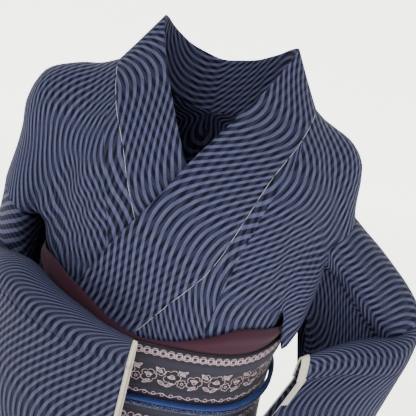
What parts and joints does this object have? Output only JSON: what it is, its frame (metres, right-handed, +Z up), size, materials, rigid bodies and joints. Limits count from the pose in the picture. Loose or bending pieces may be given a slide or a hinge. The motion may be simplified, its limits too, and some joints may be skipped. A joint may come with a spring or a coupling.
{
  "type": "worn kimono with belt",
  "caption": "Long wrapped robe of striped cloth, worn left over right, with hanging sleeves, a wide belt in a drum knot, a scarf and a cord.",
  "frame": {"origin": "middle of the shoulder line, on top of the shoulders between the two sides of the neck, where a stand or hanger holds the garment", "axes": "+Z up, the front of the garment faces -Y, +X is the wearer's left"},
  "size_m": [0.5534, 0.3842, 1.3671],
  "materials": {
    "kimono_cloth": "matt silk with a small crinkle",
    "lining_cloth": "smooth plain silk",
    "obi_cloth": "dense weave with a soft sheen",
    "scarf_silk": "fine crepe",
    "cord_silk": "braided silk with a sheen"
  },
  "bodies": {
    "root": {"body_right": "kimono_cloth", "okumi_right": "kimono_cloth", "sleeve_right": "kimono_cloth", "cuff_lining_right": "lining_cloth", "body_left": "kimono_cloth", "okumi_left": "kimono_cloth", "sleeve_left": "kimono_cloth", "cuff_lining_left": "lining_cloth", "collar": "kimono_cloth", "obi": "obi_cloth", "obiage": "scarf_silk", "obijime": "cord_silk", "obijime_knot": "cord_silk", "obi_drum": "obi_cloth", "obi_hand": "obi_cloth", "obi_tail": "obi_cloth"}
  },
  "joints": []
}
